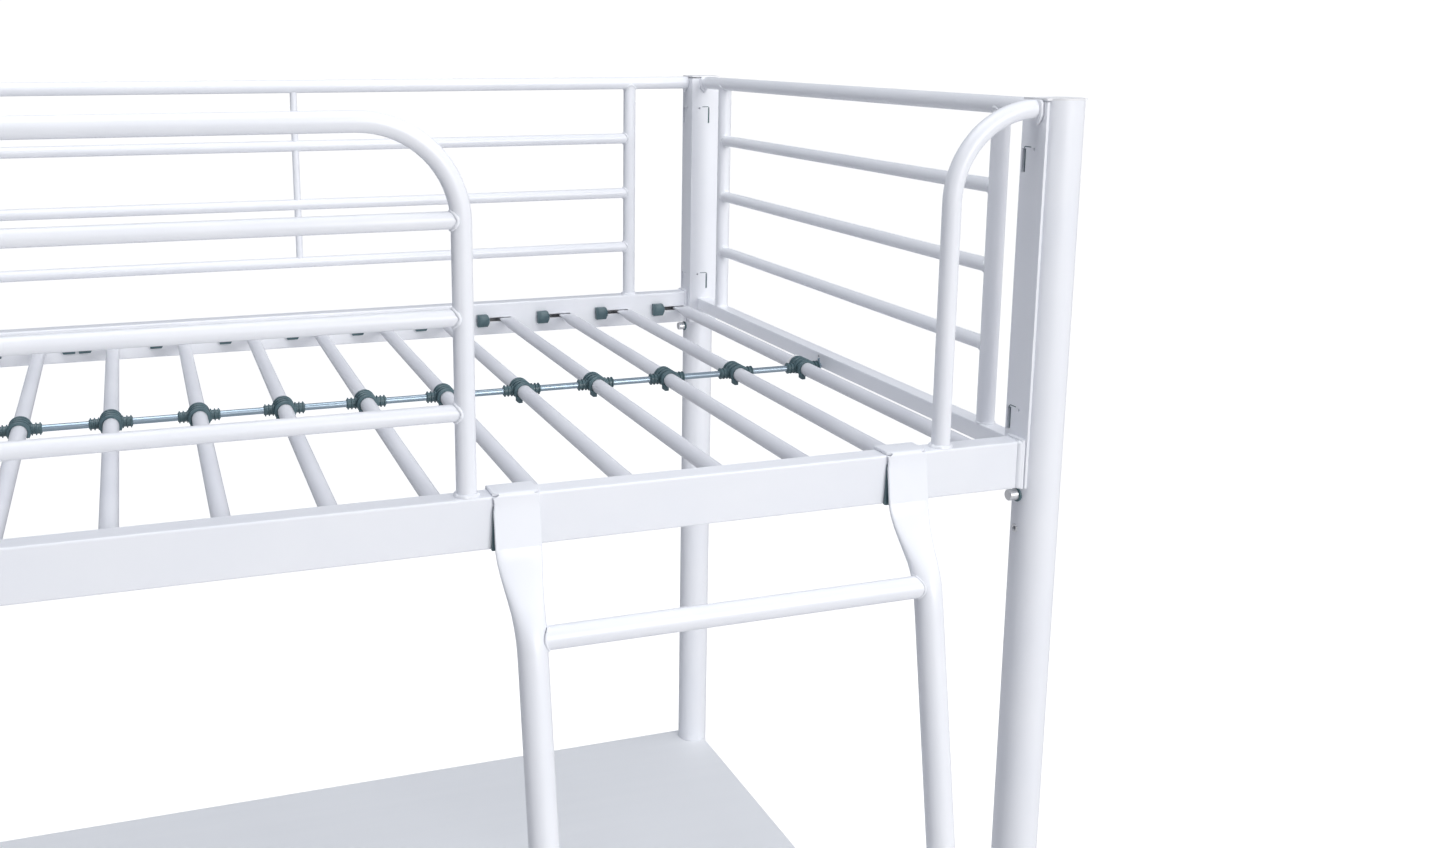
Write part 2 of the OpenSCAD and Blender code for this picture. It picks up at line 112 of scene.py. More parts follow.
# Lower ends of the brackets' hook slots, and how tall a slot is
SLOT_Z = [RAIL_TOP + 6, box_mm("post_top_caps")[1][2] - 75]
SLOT_H = 24
CORNERS = [(s, t) for s in (-1, 1) for t in (-1, 1)]


def stile_y(z):
    """Y of the stiles' centre line at height z."""
    return RUNGS[0][1] + (z - RUNGS[0][2]) * math.tan(LEAN)


# ---------- materials ----------


def new_material(name):
    mat = bpy.data.materials.new(name)
    mat.use_nodes = True
    tree = mat.node_tree
    return mat, tree, tree.nodes["Principled BSDF"]


def node(tree, kind, **inputs):
    made = tree.nodes.new(kind)
    for key, value in inputs.items():
        made.inputs[key.replace("_", " ")].default_value = value
    return made


def noise(tree, scale, detail=3.0, stretch=None):
    """Noise factor in object space; stretch scales the coordinates first."""
    coords = tree.nodes.new("ShaderNodeTexCoord").outputs["Object"]
    if stretch:
        mapping = tree.nodes.new("ShaderNodeMapping")
        mapping.inputs["Scale"].default_value = stretch
        tree.links.new(coords, mapping.inputs["Vector"])
        coords = mapping.outputs["Vector"]
    made = node(tree, "ShaderNodeTexNoise", Scale=scale, Detail=detail)
    tree.links.new(coords, made.inputs["Vector"])
    return made.outputs["Fac"]


def colour_ramp(tree, factor, first, last, between=()):
    """Colour that follows factor through stops, each a (position, colour)."""
    ramp = tree.nodes.new("ShaderNodeValToRGB")
    stops = ramp.color_ramp.elements
    for stop, (position, colour) in zip(stops, (first, last)):
        stop.position = position
        stop.color = (*colour, 1)
    for position, colour in between:
        stops.new(position).color = (*colour, 1)
    tree.links.new(factor, ramp.inputs["Fac"])
    return ramp.outputs["Color"]


def tint(tree, bsdf, factor, dark, light, low=0.3, high=0.7):
    """Base colour that runs from dark to light with factor."""
    colour = colour_ramp(tree, factor, (low, dark), (high, light))
    tree.links.new(colour, bsdf.inputs["Base Color"])


def vary_roughness(tree, bsdf, factor, low, high):
    ranged = tree.nodes.new("ShaderNodeMapRange")
    ranged.inputs["To Min"].default_value = low
    ranged.inputs["To Max"].default_value = high
    tree.links.new(factor, ranged.inputs["Value"])
    tree.links.new(ranged.outputs["Result"], bsdf.inputs["Roughness"])


def bump(tree, bsdf, factor, strength, distance, edge=0.0):
    """Surface relief from factor; edge rounds the solid's sharp edges by that radius."""
    made = node(tree, "ShaderNodeBump", Strength=strength, Distance=distance)
    tree.links.new(factor, made.inputs["Height"])
    if edge:
        rounded = tree.nodes.new("ShaderNodeBevel")
        rounded.samples = 4
        rounded.inputs["Radius"].default_value = edge
        tree.links.new(rounded.outputs["Normal"], made.inputs["Normal"])
    tree.links.new(made.outputs["Normal"], bsdf.inputs["Normal"])


def powder_coat(name, dark, light, gloss):
    """Sprayed and baked paint: fine orange peel, faint unevenness."""
    mat, tree, bsdf = new_material(name)
    tint(tree, bsdf, noise(tree, 9.0), dark, light)
    vary_roughness(tree, bsdf, noise(tree, 40.0, 5.0), gloss - 0.05, gloss + 0.07)
    bump(tree, bsdf, noise(tree, 900.0, 2.0), 0.12, 0.0004, 0.0009)
    bsdf.inputs["Coat Weight"].default_value = 0.15
    bsdf.inputs["Coat Roughness"].default_value = 0.2
    return mat


def moulded(name, dark, light, rough, grain):
    """Moulded plastic with a fine texture."""
    mat, tree, bsdf = new_material(name)
    tint(tree, bsdf, noise(tree, 60.0, 4.0), dark, light)
    vary_roughness(tree, bsdf, noise(tree, 150.0), rough - 0.06, rough + 0.08)
    bump(tree, bsdf, noise(tree, grain, 3.0), 0.2, 0.0003)
    return mat


def plated(name, dark, light, stretch, rough):
    """Zinc plate over drawn or turned steel, with fine marks along one axis."""
    mat, tree, bsdf = new_material(name)
    marks = noise(tree, 60.0, 6.0, stretch)
    tint(tree, bsdf, marks, dark, light)
    vary_roughness(tree, bsdf, marks, rough - 0.07, rough + 0.1)
    bump(tree, bsdf, noise(tree, 220.0, 4.0, stretch), 0.15, 0.0003)
    bsdf.inputs["Metallic"].default_value = 0.85
    return mat


def laminate(name, dark, light):
    """Laminated board: very faint long grain and a fine matt tooth."""
    mat, tree, bsdf = new_material(name)
    grain = noise(tree, 7.0, 8.0, (0.35, 9.0, 9.0))
    tint(tree, bsdf, grain, dark, light, 0.2, 0.8)
    vary_roughness(tree, bsdf, grain, 0.42, 0.55)
    bump(tree, bsdf, noise(tree, 500.0, 3.0, (0.4, 1.5, 1.5)), 0.08, 0.0003, 0.0008)
    return mat


# Each finish: name, darker and lighter colour, then what its function takes after them
MATERIAL = {
    "frame_paint": powder_coat(
        "paint_white", (0.875, 0.89, 0.935), (0.91, 0.92, 0.955), 0.37),
    "slat_paint": powder_coat(
        "paint_slats", (0.74, 0.75, 0.80), (0.81, 0.82, 0.86), 0.4),
    "clip_plastic": moulded(
        "plastic_dark", (0.06, 0.11, 0.13), (0.1, 0.165, 0.185), 0.38, 700.0),
    "rod_steel": plated(
        "zinc_rod", (0.24, 0.33, 0.4), (0.42, 0.5, 0.57), (0.08, 3.0, 3.0), 0.34),
    "bolt_steel": plated(
        "zinc_bolts", (0.74, 0.75, 0.76), (0.9, 0.9, 0.9), (3.0, 0.5, 0.5), 0.3),
    "white_plastic": moulded(
        "plastic_white", (0.84, 0.84, 0.855), (0.9, 0.9, 0.91), 0.45, 500.0),
    "desk_laminate": laminate(
        "laminate_grey", (0.9, 0.915, 0.94), (0.92, 0.933, 0.955)),
}

for part in frame["record"]["subparts"]:
    mesh = frame["nodes"][part["node"]].data
    mesh.materials.clear()
    mesh.materials.append(MATERIAL[part["material_slot"]])

# ---------- mesh helpers ----------

BEAD_STEPS = 40
BEAD_SIDES = 10


def oval(centre, u, v, rx, ry, n, power=1.0):
    """Ring of n points in the plane of u and v, with radii rx and ry; power > 1 squares it."""
    ring = []
    for k in range(n):
        c, s = math.cos(math.tau * k / n), math.sin(math.tau * k / n)
        c, s = (math.copysign(abs(t) ** (1 / power), t) for t in (c, s))
        ring.append(centre + (u * c * rx + v * s * ry) * MM)
    return ring


def loft(bm, rings, closed=False, caps=True):
    """Skin through rings of equal length; closed joins the last ring to the first."""
    rows = [[bm.verts.new(p) for p in ring] for ring in rings]
    pairs = list(zip(rows, rows[1:])) + ([(rows[-1], rows[0])] if closed else [])
    for a, b in pairs:
        for k in range(len(a)):
            bm.faces.new((a[k - 1], a[k], b[k], b[k - 1]))
    if caps and not closed:
        bm.faces.new(rows[0][::-1])
        bm.faces.new(rows[-1])


def turned_ring(origin, axis, side, step, radius, n, shape=None):
    """Ring round axis at distance step; shape turns (radius, angle) into the radius there."""
    other = axis.cross(side)
    ring = []
    for k in range(n):
        angle = math.tau * k / n
        r = shape(radius, angle) if shape else radius
        across = side * r * math.cos(angle)
        ring.append(origin + (axis * step + across + other * r * math.sin(angle)) * MM)
    return ring


def turned(bm, origin, axis, side, profile, n):
    """Lathe work in n steps: profile is [(distance along axis, radius)]."""
    loft(bm, [turned_ring(origin, axis, side, step, radius, n) for step, radius in profile])


def swept_arc(bm, origin, axis, side, section, start, end, steps=28):
    """A section [(along axis, radius)] swept from angle start to angle end, in degrees."""
    other = axis.cross(side)
    rings = []
    for k in range(steps + 1):
        angle = math.radians(start + (end - start) * k / steps)
        out = side * math.cos(angle) + other * math.sin(angle)
        rings.append([origin + (axis * step + out * radius) * MM for step, radius in section])
    loft(bm, rings)


def prism(bm, origin, u, v, w, outline, depth, soften):
    """Outline in the plane of u and v, drawn out along w, with softened edges."""
    low = [bm.verts.new(origin + (u * a + v * b) * MM) for a, b in outline]
    high = [bm.verts.new(origin + (u * a + v * b + w * depth) * MM) for a, b in outline]
    faces = [bm.faces.new(low[::-1]), bm.faces.new(high)]
    for k in range(len(low)):
        faces.append(bm.faces.new((low[k - 1], low[k], high[k], high[k - 1])))
    edges = list({e for f in faces for e in f.edges})
    bmesh.ops.bevel(bm, geom=edges, offset=soften * MM, segments=2, affect="EDGES", profile=0.5)


def piece(name, bm, body, slot, replaced=(), sharp=38):
    """Turns bm into a piece that rides on body and takes the slot's finish."""
    bmesh.ops.recalc_face_normals(bm, faces=bm.faces)
    mesh = bpy.data.meshes.new(name)
    bm.to_mesh(mesh)
    bm.free()
    mesh.shade_smooth()
    mesh.set_sharp_from_angle(angle=math.radians(sharp))
    mesh.materials.append(MATERIAL[slot])
    obj = bpy.data.objects.new(name, mesh)
    bpy.context.scene.collection.objects.link(obj)
    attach(obj, body)
    for cad_node in replaced:
        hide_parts(cad_node)


def lump(k, n, seed):
    """Unevenness of a hand-run weld bead at step k of n."""
    a = math.tau * k / n
    return 1 + 0.13 * math.sin(7 * a + seed) + 0.09 * math.sin(13 * a + 2.3 * seed)


def bead(bm, points, outward, size, seed):
    """Weld bead along a closed line of points; outward gives the way out at each point."""
    n = len(points)
    rings = []
    for k in range(n):
        along = (points[(k + 1) % n] - points[k - 1]).normalized()
        out = outward[k]
        up = along.cross(out).normalized()
        r = size * lump(k, n, seed)
        rings.append([points[k] + (out * math.cos(a) + up * math.sin(a)) * r * MM
                      for a in (math.tau * j / BEAD_SIDES for j in range(BEAD_SIDES))])
    loft(bm, rings, closed=True)


def flat_bead(bm, centre, axis, side, radius, size, seed):
    """Bead around a tube where it stands on a flat face."""
    other = axis.cross(side)
    angles = [math.tau * k / BEAD_STEPS for k in range(BEAD_STEPS)]
    ways = [side * math.cos(a) + other * math.sin(a) for a in angles]
    bead(bm, [centre + w * radius * MM for w in ways], ways, size, seed)


def coped_bead(bm, centre, axis, radius, big_axis, big_radius, size, seed):
    """Bead where a tube along axis runs into a bigger tube along big_axis at centre."""
    across = axis.cross(big_axis).normalized()
    along = across.cross(axis)
    points, ways = [], []
    for k in range(BEAD_STEPS):
        a = math.tau * k / BEAD_STEPS
        way = across * math.cos(a) + along * math.sin(a)
        off = radius * math.cos(a)
        reach = math.sqrt(max(big_radius ** 2 - off ** 2, 0.0))
        points.append(centre + (way * radius + axis * reach) * MM)
        ways.append(way)
    bead(bm, points, ways, size, seed)


# ---------- slats: tubes with pressed ends ----------

# Slices of a pressed end: distance from the tip, half width, half height, squareness
PRESSED = [
    (0.6, 8.2, 1.2, 1.6), (1.4, 9.0, 1.9, 1.6), (9, 9.3, 2.1, 1.5), (17, 9.6, 2.9, 1.35),
    (23, 9.6, 4.8, 1.15), (29, 9.3, 7.2, 1.0), (35, 9.05, 8.6, 1.0), (42, 9, 9, 1.0),
]
SLAT_INTO_RAIL = 2


def slat_mesh():
    """Slat along Y about the origin: pressed flat where it enters the rails."""
    tip = RAIL_IN + SLAT_INTO_RAIL
    bm = bmesh.new()
    ends = [(tip - s, rx, rz, p) for s, rx, rz, p in PRESSED]
    rows = [(-y, rx, rz, p) for y, rx, rz, p in ends] + ends[::-1]
    loft(bm, [oval(Y * y * MM, X, Z, rx, rz, 32, p) for y, rx, rz, p in rows])
    return bm


for number, x in enumerate(SLAT_X, 1):
    bm = slat_mesh()
    bmesh.ops.translate(bm, verts=bm.verts, vec=at(x, 0, SLAT_Z))
    piece(f"slat_{number:02d}_tube", bm, "bed_frame", "slat_paint", [f"slat_{number:02d}"])

# ---------- clips and plugs ----------


def shell(a, b, inner, outer, soft):
    """Cross-section of a clip wall from a to b along its axis, with softened corners."""
    return [(a, inner), (b, inner), (b, outer - soft),
            (b - soft, outer), (a + soft, outer), (a, outer - soft)]


# The clip's saddle and its ribs: sections along the slat, and half the angle they cover
SADDLE, SADDLE_ARC = shell(-14, 14, 9.2, 11.4, 0.6), 128
RIBS = [shell(y - 1.6, y + 1.6, 9.4, 12.9, 0.8) for y in (-13, -4.5, 4.5, 13)]
RIB_ARC = 122
# The sleeves round the rod: (distance from the slat's middle, radius), and where each of
# their rings starts and ends
SLEEVE = [(10, 4.3), (10, 5.7), (23.4, 5.7), (24, 5.2), (24, 4.3)]
SLEEVE_RINGS = [(12, 14.2), (16.6, 18.8), (21, 23.2)]
# The catch below: (along the rod, up) from its corner, and that corner from the middle
CATCH = [(0, 2.5), (3, 0), (8, 0), (8, 8), (0, 8)]
CATCH_AT = X * -11 - Y * 17 - Z * 13

# The plug, in the slot beside the slat: (along the rail, up) from the slot's middle
PLUG_TO_SLAT = 18.5
PLUG_BODY = [(-28, -9.5), (-12, -9.5), (-9, -3), (-9, 3), (-12, 9.5), (-28, 9.5)]
PLUG_FACE = [(-25.5, -6.5), (-14, -6.5), (-12, -2), (-12, 2), (-14, 6.5), (-25.5, 6.5)]
PLUG_TONGUE = [(-27, -2.6), (-13, -2.6), (-13, 2.6), (-27, 2.6)]
PLUG_DEPTH = 9
TONGUE_DEPTH = 6


def add_clip(bm, x):
    """Saddle over a slat, open below, with sleeves for the rod on both sides."""
    o = at(x, 0, SLAT_Z)
    swept_arc(bm, o, Y, Z, SADDLE, -SADDLE_ARC, SADDLE_ARC)
    for rib in RIBS:
        swept_arc(bm, o, Y, Z, rib, -RIB_ARC, RIB_ARC)
    for s in (-1, 1):
        turned(bm, o, X * s, Z, SLEEVE, 28)
        for a, b in SLEEVE_RINGS:
            turned(bm, o, X * s, Z, [(a, 5.4), (a + 0.6, 7.4), (b - 0.6, 7.4), (b, 5.4)], 28)
    prism(bm, o + CATCH_AT * MM, X, Z, Y, CATCH, 6, 0.7)


def add_plug(bm, x, side, rail):
    """Block beside a slat's end, with its pointed side towards the slat."""
    o = at(x - side * PLUG_TO_SLAT, rail * RAIL_IN, SLAT_Z)
    along, out = X * side, -Y * rail
    prism(bm, o, along, Z, out, PLUG_BODY, PLUG_DEPTH, 0.8)
    prism(bm, o - Y * rail * PLUG_DEPTH * MM, along, Z, out, PLUG_FACE, 0.8, 0.3)
    prism(bm, o + Y * rail * TONGUE_DEPTH * MM, along, Z, out, PLUG_TONGUE, TONGUE_DEPTH + 1, 0.4)


bm = bmesh.new()
for x in SLAT_X:
    add_clip(bm, x)
piece("clips", bm, "bed_frame", "clip_plastic", ["slat_clips"])

bm = bmesh.new()
for x in SLAT_X:
    for rail in (-1, 1):
        add_plug(bm, x, math.copysign(1, x), rail)
piece("plugs", bm, "bed_frame", "clip_plastic", ["slat_plugs"])

PIN = [(0, 1), (0.5, 1.5), (19.5, 1.5), (20, 1)]
PIN_X = box_mm("centre_rod")[1][0] - 2.5

bm = bmesh.new()
for s in (-1, 1):
    turned(bm, at(s * PIN_X, 0, SLAT_Z - 9), Z, X, PIN, 16)
piece("rod_end_pins", bm, "bed_frame", "rod_steel")

# ---------- ladder ----------

# Slices of the flattened stile top: distance in front of the rail, depth below the
# rail's top, half width, half depth, squareness
NECK = [
    (8.4, 47.5, 22, 1.9, 2.4), (9.6, 52, 22, 2.2, 2.2), (12.6, 60, 21.4, 3.2, 1.7),
    (17.5, 70, 20, 5, 1.4), (24, 80, 18.4, 7.4, 1.2), (31.5, 90, 16.8, 9.6, 1.08),
    (39.5, 100, 15.6, 11.6, 1.0), (45.5, 110, 14.9, 12.9, 1.0),
    (49.6, 120, 14.4, 13.6, 1.0), (52.2, 130, 14.1, 13.9, 1.0),
]
# Heights of the round slices below the neck, down to just above the shoe's sole
STILE_RING_Z = (RAIL_TOP - 150, 700, 8)
STILE_SIDES = 40

# The hook plate: its middle's distance from the rail, the radius of its bends, half its
# width, and how far its lip reaches down behind the rail
HOOK_OFF, HOOK_BEND, HOOK_HALF, HOOK_LIP = 1.9, 2.6, 22, 9
# Half its thickness, its softened edge, and how deep the notches at the fold are
PLATE_HALF, PLATE_EDGE, NOTCH = 1.5, 0.5, 5.5
# The plate in front of the rail: (distance out, depth below the rail's top, half width)
APRON = [(0.4, 6, 21), (1.5, 13, 22), (6.2, 44, 22), (7.4, 51, 22)]
APRON_SLOPE = 0.16

# Dark wedge of painted shade behind the plate, for the shaded gap and the plate's shadow on the
# rail: (depth below the rail's top, thickness, width beside the plate)
GAP_SHADE = [(9, 1.0, 0.0), (20, 2.0, 0.5), (36, 4.4, 1.2), (50, 6.4, 2.2)]
GAP_SHADE_CLEARANCE = 0.35
GAP_SHADE_LEFT, GAP_SHADE_RIGHT = 21.8, 21
GAP_SHADE_TAPER = 0.6


def add_stile(bm, x):
    """Round tube that is pressed flat at the top, where it meets its hook plate."""
    tilt = Y * math.cos(LEAN) - Z * math.sin(LEAN)
    rings = [oval(at(x, -RAIL_FACE - out, RAIL_TOP - down), X, tilt, rx, ry, STILE_SIDES, p)
             for out, down, rx, ry, p in NECK]
    for z in STILE_RING_Z:
        rings.append(oval(at(x, stile_y(z), z), X, tilt, STILE_R, STILE_R, STILE_SIDES))
    loft(bm, rings)


def add_hook(bm, x):
    """Bent plate over the rail: swept rounded rectangle, narrower at the fold's notches."""
    front, back, top = -RAIL_FACE - HOOK_OFF, -RAIL_IN + HOOK_OFF, RAIL_TOP + HOOK_OFF
    lip = RAIL_TOP - HOOK_LIP
    path = [(back, lip, HOOK_HALF - 1, 0), (back, lip + 1, HOOK_HALF, 0),
            (back, top - HOOK_BEND, HOOK_HALF, 0)]
    for first, middle, notch in ((0, back - HOOK_BEND, 0), (90, front + HOOK_BEND, NOTCH)):
        for k in range(7):
            a = math.radians(first + 15 * k)
            y = middle + HOOK_BEND * math.cos(a)
            z = top - HOOK_BEND + HOOK_BEND * math.sin(a)
            path.append((y, z, HOOK_HALF - notch * math.sin(math.radians(30 * k)), a))
    path += [(front - out, RAIL_TOP - down, half, math.pi + APRON_SLOPE)
             for out, down, half in APRON]
    rings = []
    t, c = PLATE_HALF, PLATE_EDGE
    for y, z, half, a in path:
        out = Y * math.cos(a) + Z * math.sin(a)
        corners = [(half, t - c), (half - c, t), (c - half, t), (-half, t - c),
                   (-half, c - t), (c - half, -t), (half - c, -t), (half, c - t)]
        rings.append([at(x, y, z) + (X * u + out * v) * MM for u, v in corners])
    loft(bm, rings)


def add_hook_gap_shade(bm, x):
    """Dark wedge of painted shade that fills the gap between the hook plate and the rail's face;
    its part beside the plate is a painted shadow on the rail.
    """
    face, right = -RAIL_FACE - GAP_SHADE_CLEARANCE, x + GAP_SHADE_RIGHT
    rings = []
    for down, depth, proud in GAP_SHADE:
        left, z = x - GAP_SHADE_LEFT - proud, RAIL_TOP - down
        rings.append([at(left, face, z), at(right, face, z),
                      at(right, face - depth, z), at(left, face - depth * GAP_SHADE_TAPER, z)])
    loft(bm, rings)


# Dark wedges of painted shade and painted shadow behind the hook plates
bm = bmesh.new()
for x in STILE_X:
    add_hook_gap_shade(bm, x)
piece("hook_gap_shade", bm, "ladder", "clip_plastic")

for side_name, x in zip(("left", "right"), STILE_X):
    bm = bmesh.new()
    add_stile(bm, x)
    piece(f"{side_name}_stile_tube", bm, "ladder", "frame_paint",
          [f"ladder_{side_name}_stile"], 50)
    bm = bmesh.new()
    add_hook(bm, x)
    piece(f"{side_name}_hook_plate", bm, "ladder", "frame_paint",
          [f"ladder_{side_name}_hook"], 30)

# The top rung meets the stile where the neck already begins to widen
NECK_SWELL = 0.5
RUNG_BEAD = 1.0

bm = bmesh.new()
for k, (_, y, z) in enumerate(RUNGS):
    stile_r = STILE_R + (NECK_SWELL if k == len(RUNGS) - 1 else 0)
    for j, x in enumerate(STILE_X):
        coped_bead(bm, at(x, y, z), X * (1 - 2 * j), RUNG_R, STILE_AXIS, stile_r,
                   RUNG_BEAD, k + 5 * j)
piece("ladder_welds", bm, "ladder", "frame_paint")

# ---------- welds on the bed ----------

# Uprights that stand on the side rails, then the ends of the guards' bars with the way
# the bar leaves its upright
FEET = [(-BACK_UPRIGHT_X, GUARD_Y), (BACK_UPRIGHT_X, GUARD_Y), (-LONG_UPRIGHT_X, -GUARD_Y),
        (ENTRY_X, -GUARD_Y), (LONG_UPRIGHT_X, -GUARD_Y)]
BAR_ENDS = [(-BACK_UPRIGHT_X, GUARD_Y, 1), (BACK_UPRIGHT_X, GUARD_Y, -1),
            (-LONG_UPRIGHT_X, -GUARD_Y, 1), (ENTRY_X, -GUARD_Y, -1)]
FOOT_LIFT = 0.4
# Radii of the beads' sections
FOOT_BEAD, PANEL_FOOT_BEAD, TOP_BEAD = 2.6, 2.0, 1.8
BAR_BEAD, PANEL_BAR_BEAD = 1.7, 1.9
# Radii of the lines they follow
PANEL_FOOT_LINE, BAR_LINE, TOP_LINE = PANEL_R - 1.2, BAR_R + 0.2, GUARD_R - 0.4

bm = bmesh.new()
for k, (x, y) in enumerate(FEET):
    flat_bead(bm, at(x, y, RAIL_TOP + FOOT_LIFT), Z, X, GUARD_R, FOOT_BEAD, k)
for s, t in CORNERS:
    flat_bead(bm, at(s * POST_X, t * PANEL_UPRIGHT_Y, PANEL_FOOT_Z + FOOT_LIFT), Z, X,
              PANEL_FOOT_LINE, PANEL_FOOT_BEAD, s + 3 * t)
for k, z in enumerate(BAR_Z):
    for x, y, way in BAR_ENDS:
        coped_bead(bm, at(x, y, z), X * way, BAR_LINE, Z, GUARD_R, BAR_BEAD, k + x)
    for s, t in CORNERS:
        coped_bead(bm, at(s * POST_X, t * PANEL_UPRIGHT_Y, z), Y * -t, BAR_LINE, Z, PANEL_R,
                   PANEL_BAR_BEAD, k + s + 2 * t)
for s in (-1, 1):
    coped_bead(bm, at(s * BACK_UPRIGHT_X, GUARD_Y, GUARD_Z), -Z, TOP_LINE, X, GUARD_R,
               TOP_BEAD, s)
    for t in (-1, 1):
        coped_bead(bm, at(s * POST_X, t * PANEL_UPRIGHT_Y, GUARD_Z), -Z, TOP_LINE, Y, GUARD_R,
                   TOP_BEAD, s + t)
coped_bead(bm, at(-LONG_UPRIGHT_X, -GUARD_Y, GUARD_Z), -Z, TOP_LINE, X, GUARD_R, TOP_BEAD, 4)
piece("bed_welds", bm, "bed_frame", "frame_paint")

# ---------- rail ends, and the brackets' slots ----------

STRIP = [(0, 3), (1.2, 4.4), (RAIL_H - 1.4, 4.4), (RAIL_H + 0.6, 2.6)]
STRIP_X, STRIP_Y = LEG_A - 4.6, RAIL_FACE - 1.6

bm = bmesh.new()
for s, t in CORNERS:
    turned(bm, at(s * STRIP_X, t * STRIP_Y, RAIL_TOP - RAIL_H + 0.3), Z, X, STRIP, 28)
piece("rail_end_strips", bm, "bed_frame", "frame_paint")

# Where the slots are, from the other leg's face: on the side rail's leg at the front and
# at the back, then on the end rail's leg. Outlines are (across, up) from a slot's lower
# end, and start so far behind the leg's face
FRONT_SLOT, BACK_SLOT, END_SLOT = 5.5, 33, 29
# Dark plates of painted shade: one behind each slot in the side rail's leg, and one filling each
# slot in the end rail's leg
SLOT_SHADE_PLATE = [(-4, -1), (4, -1), (4, SLOT_H + 1), (-4, SLOT_H + 1)]
SLOT_SHADE_FILL = [(-1.15, 0), (1.15, 0), (1.15, SLOT_H), (-1.15, SLOT_H)]
SLOT_SHADE_PLATE_BACK, SLOT_SHADE_FILL_BACK = 3.1, 0.7
# The lanced cut above a slot: its line, and its height over the slot's lower end
LANCE = [(-11, 0), (-1.5, 0), (0, -1), (0.3, -3.5)]
LANCE_Z = SLOT_H + 2
# Half its width, the overlap of its strokes, its thickness, and how far off the leg's
# face it starts
CUT_HALF, CUT_LAP, CUT_DEPTH, CUT_OUT = 0.45, 0.2, 0.25, 0.1

bm = bmesh.new()
for s, t in CORNERS:
    side_slot = BACK_SLOT if t > 0 else FRONT_SLOT
    for z in SLOT_Z:
        prism(bm, at(s * (LEG_A + SLOT_SHADE_PLATE_BACK), t * (LEG_B + side_slot), z), Y, Z, X * s,
              SLOT_SHADE_PLATE, 0.8, 0.2)
        prism(bm, at(s * (LEG_A + END_SLOT), t * (LEG_B + SLOT_SHADE_FILL_BACK), z), X, Z, Y * t,
              SLOT_SHADE_FILL, 2.2, 0.1)
piece("slot_shade_plates", bm, "bed_frame", "clip_plastic")


def lance_line(bm, origin, across):
    """Cut above a slot where the hook tongue was lanced: a level line that turns down."""
    for (a, b), (c, d) in zip(LANCE, LANCE[1:]):
        way = Vector((c - a, d - b)).normalized()
        u, v = across * way.x + Z * way.y, across * -way.y + Z * way.x
        end = math.hypot(c - a, d - b) + CUT_LAP
        outline = [(-CUT_LAP, -CUT_HALF), (end, -CUT_HALF), (end, CUT_HALF), (-CUT_LAP, CUT_HALF)]
        start = origin + (across * a + Z * b) * MM
        prism(bm, start, u, v, u.cross(v), outline, CUT_DEPTH, 0.05)


bm = bmesh.new()
for s, t in CORNERS:
    for z in SLOT_Z:
        cut_z = z + LANCE_Z
        lance_line(bm, at(s * (LEG_A + END_SLOT), t * (LEG_B - CUT_OUT), cut_z), X * s)
        if t < 0:
            lance_line(bm, at(s * (LEG_A - CUT_OUT), t * (LEG_B + FRONT_SLOT), cut_z), Y)
piece("lance_lines", bm, "bed_frame", "clip_plastic")

# ---------- hook tabs on the guards' ends ----------

# A shield on the leg's face: (across, up) from a point beside the guard tube's middle
TAB = [(-3, -13), (0, -16), (3, -13), (7, -6), (7, 6), (4, 9.5), (-4, 9.5), (-7, 6), (-7, -6)]
TAB_ASIDE, TAB_OUT = 5, 0.1
TAB_THICK = 3.6

bm = bmesh.new()
for s, t in CORNERS:
    prism(bm, at(s * (LEG_A - TAB_OUT), t * (GUARD_Y + TAB_ASIDE), GUARD_Z), Y, Z, -X * s,
          TAB, TAB_THICK, 1.0)
    prism(bm, at(s * (POST_X - TAB_ASIDE), t * (LEG_B - TAB_OUT), GUARD_Z), X, Z, -Y * t,
          TAB, TAB_THICK, 1.0)
piece("hook_tabs", bm, "bed_frame", "frame_paint")

# ---------- bolts ----------


def off_post(profile):
    """Profile given from the post's surface, as [(distance from its middle, radius)]."""
    return [(POST_R + out, radius) for out, radius in profile]


BOLT_SHANK = [(8, 4), (POST_R, 4)]
BOLT_HEAD = off_post([(1.2, 4), (1.2, 6), (10.2, 6), (11, 5.3), (11, 4.2)])
BOLT_SOCKET = off_post([(11.02, 4.3), (11.02, 3.5), (5, 3.4)])
# Dark ring under each bolt head: a washer, drawn dark so that it also stands for the painted
# shade under the head
WASHER_SHADE = off_post([(-2.5, 4.4), (-2.5, 7.8), (0.6, 7.8), (1.2, 7.2), (1.2, 4.4)])
RIVET_RING = off_post(
    [(-1.2, 2.3), (-1.2, 4.6), (0.2, 4.6), (0.8, 4.0), (0.8, 2.9), (0.2, 2.3)])
RIVET_DROP = 37
BOLT_SIDES = 36


def hexagon(radius, angle):
    """Radius at angle of a hexagon with its corners at radius."""
    return radius * math.cos(math.pi / 6) / math.cos(angle % (math.pi / 3) - math.pi / 6)


def add_bolt(bm, washer_shade, origin, way):
    """Socket-head bolt that faces along way from the post's middle, and the ring round the
    rivet hole below it."""
    turned(bm, origin, way, Z, BOLT_SHANK + BOLT_HEAD, BOLT_SIDES)
    loft(bm, [turned_ring(origin, way, Z, step, radius, BOLT_SIDES, hexagon if k else None)
              for k, (step, radius) in enumerate(BOLT_SOCKET)], caps=False)
    turned(washer_shade, origin, way, Z, WASHER_SHADE, 32)
    swept_arc(bm, origin - Z * RIVET_DROP * MM, way, Z, RIVET_RING, 0, 360, 32)


bm, washer_shade = bmesh.new(), bmesh.new()
for s, t in CORNERS:
    add_bolt(bm, washer_shade, at(s * POST_X, t * POST_Y, BOLT_Z), -X * s)
piece("socket_bolts", bm, "bed_frame", "bolt_steel", ["joint_bolts"], 30)
piece("bolt_washer_shade", washer_shade, "bed_frame", "clip_plastic")

